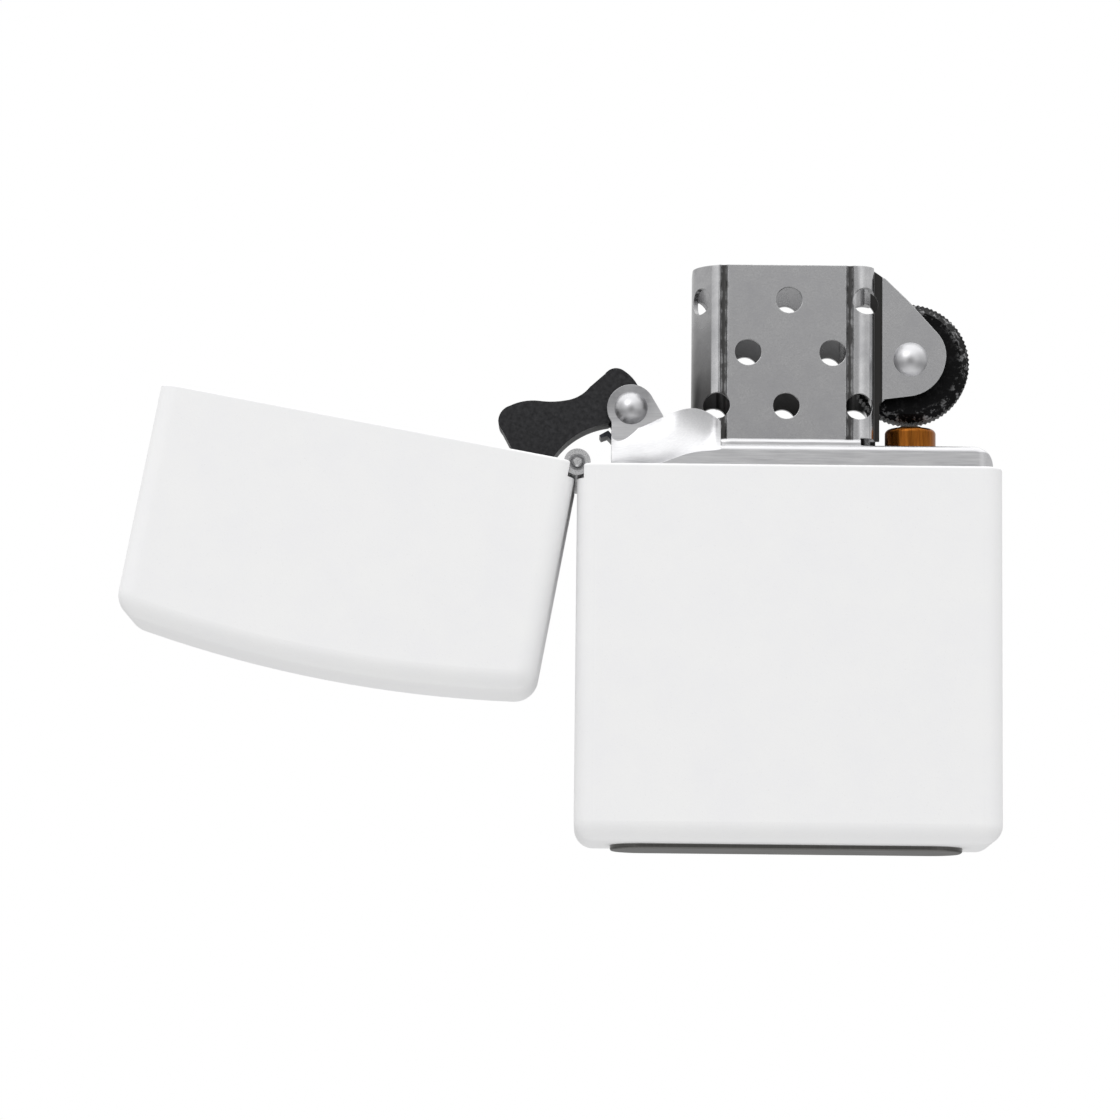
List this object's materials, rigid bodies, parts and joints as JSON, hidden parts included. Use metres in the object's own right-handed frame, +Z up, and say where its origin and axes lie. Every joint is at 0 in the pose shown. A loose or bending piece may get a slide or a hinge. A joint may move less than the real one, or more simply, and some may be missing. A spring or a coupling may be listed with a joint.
{
  "type": "flip-top petrol lighter",
  "caption": "Flip-top windproof petrol lighter, lid open: hinged sheet case, snap cam, perforated chimney, striker wheel, flint column, wick and packed tank.",
  "frame": {"origin": "centre of the flat base panel, on the plane it stands on", "axes": "+X to the right across the width, away from the lid's hinge; +Y from the front face to the back, across the thickness; +Z up"},
  "size_m": [0.0791, 0.013, 0.0527],
  "materials": {
    "white_coat": "matte white powder coat outside, bare brass-coloured steel inside",
    "hinge_steel": "satin",
    "insert_steel": "fine brushed",
    "cam_steel": "dark oxide, satin",
    "rivet_steel": "polished",
    "spring_steel": "blued",
    "wheel_steel": "black oxide, toothed",
    "tube_brass": "satin",
    "flint_alloy": "cast",
    "wick_cotton": "braided",
    "copper": "drawn wire",
    "packing": "loose cotton",
    "felt": "pressed felt"
  },
  "bodies": {
    "case": {"case_body": "white_coat", "hinge_leaf_body": "hinge_steel", "hinge_pin": "hinge_steel", "insert_shell": "insert_steel", "chimney": "insert_steel", "cam_rivet": "rivet_steel", "cam_spring": "spring_steel", "cam_spring_rivet": "rivet_steel", "wheel_rivet": "rivet_steel", "flint_tube": "tube_brass", "wick": "wick_cotton", "wick_wire": "copper", "cotton_packing": "packing", "felt_pad": "felt"},
    "lid": {"case_lid": "white_coat", "hinge_leaf_lid": "hinge_steel"},
    "cam": {"cam": "cam_steel"},
    "wheel": {"striker_wheel": "wheel_steel"},
    "flint": {"flint": "flint_alloy", "flint_spring_tip": "tube_brass"},
    "screw": {"flint_screw": "tube_brass"},
    "screw_carriage": {"flint_spring": "spring_steel"}
  },
  "joints": [
    {"name": "lid_hinge", "type": "hinge", "parent": "case", "child": "lid", "pos_m": [-0.01905, 0, 0.0344], "axis": [0, 1, 0], "range_deg": [0, 169.65]},
    {"name": "cam_pivot", "type": "hinge", "parent": "case", "child": "cam", "pos_m": [-0.01425, 0, 0.0399], "axis": [0, 1, 0], "range_deg": [0, 100]},
    {"name": "wheel_spin", "type": "hinge", "parent": "case", "child": "wheel", "pos_m": [0.01095, 0, 0.04442], "axis": [0, 1, 0], "continuous": true},
    {"name": "flint_feed", "type": "slide", "parent": "case", "child": "flint", "axis": [0, 0, 1], "range_m": [-0.0015, 0], "stiffness_N_per_m": 60, "springref_m": 0.004, "deforming": ["flint_spring"]},
    {"name": "screw_travel", "type": "slide", "parent": "case", "child": "screw_carriage", "axis": [0, 0, -1], "range_m": [0, 0.00075]},
    {"name": "screw_turn", "type": "hinge", "parent": "screw_carriage", "child": "screw", "pos_m": [0.01115, 0, 0.0024], "axis": [0, 0, -1], "range_deg": [0, 540]}
  ],
  "couplings": [
    {"joint": "cam_pivot", "follows": "lid_hinge", "ratio": 0.585},
    {"joint": "screw_turn", "follows": "screw_travel", "rad_per_m": 12566}
  ]
}
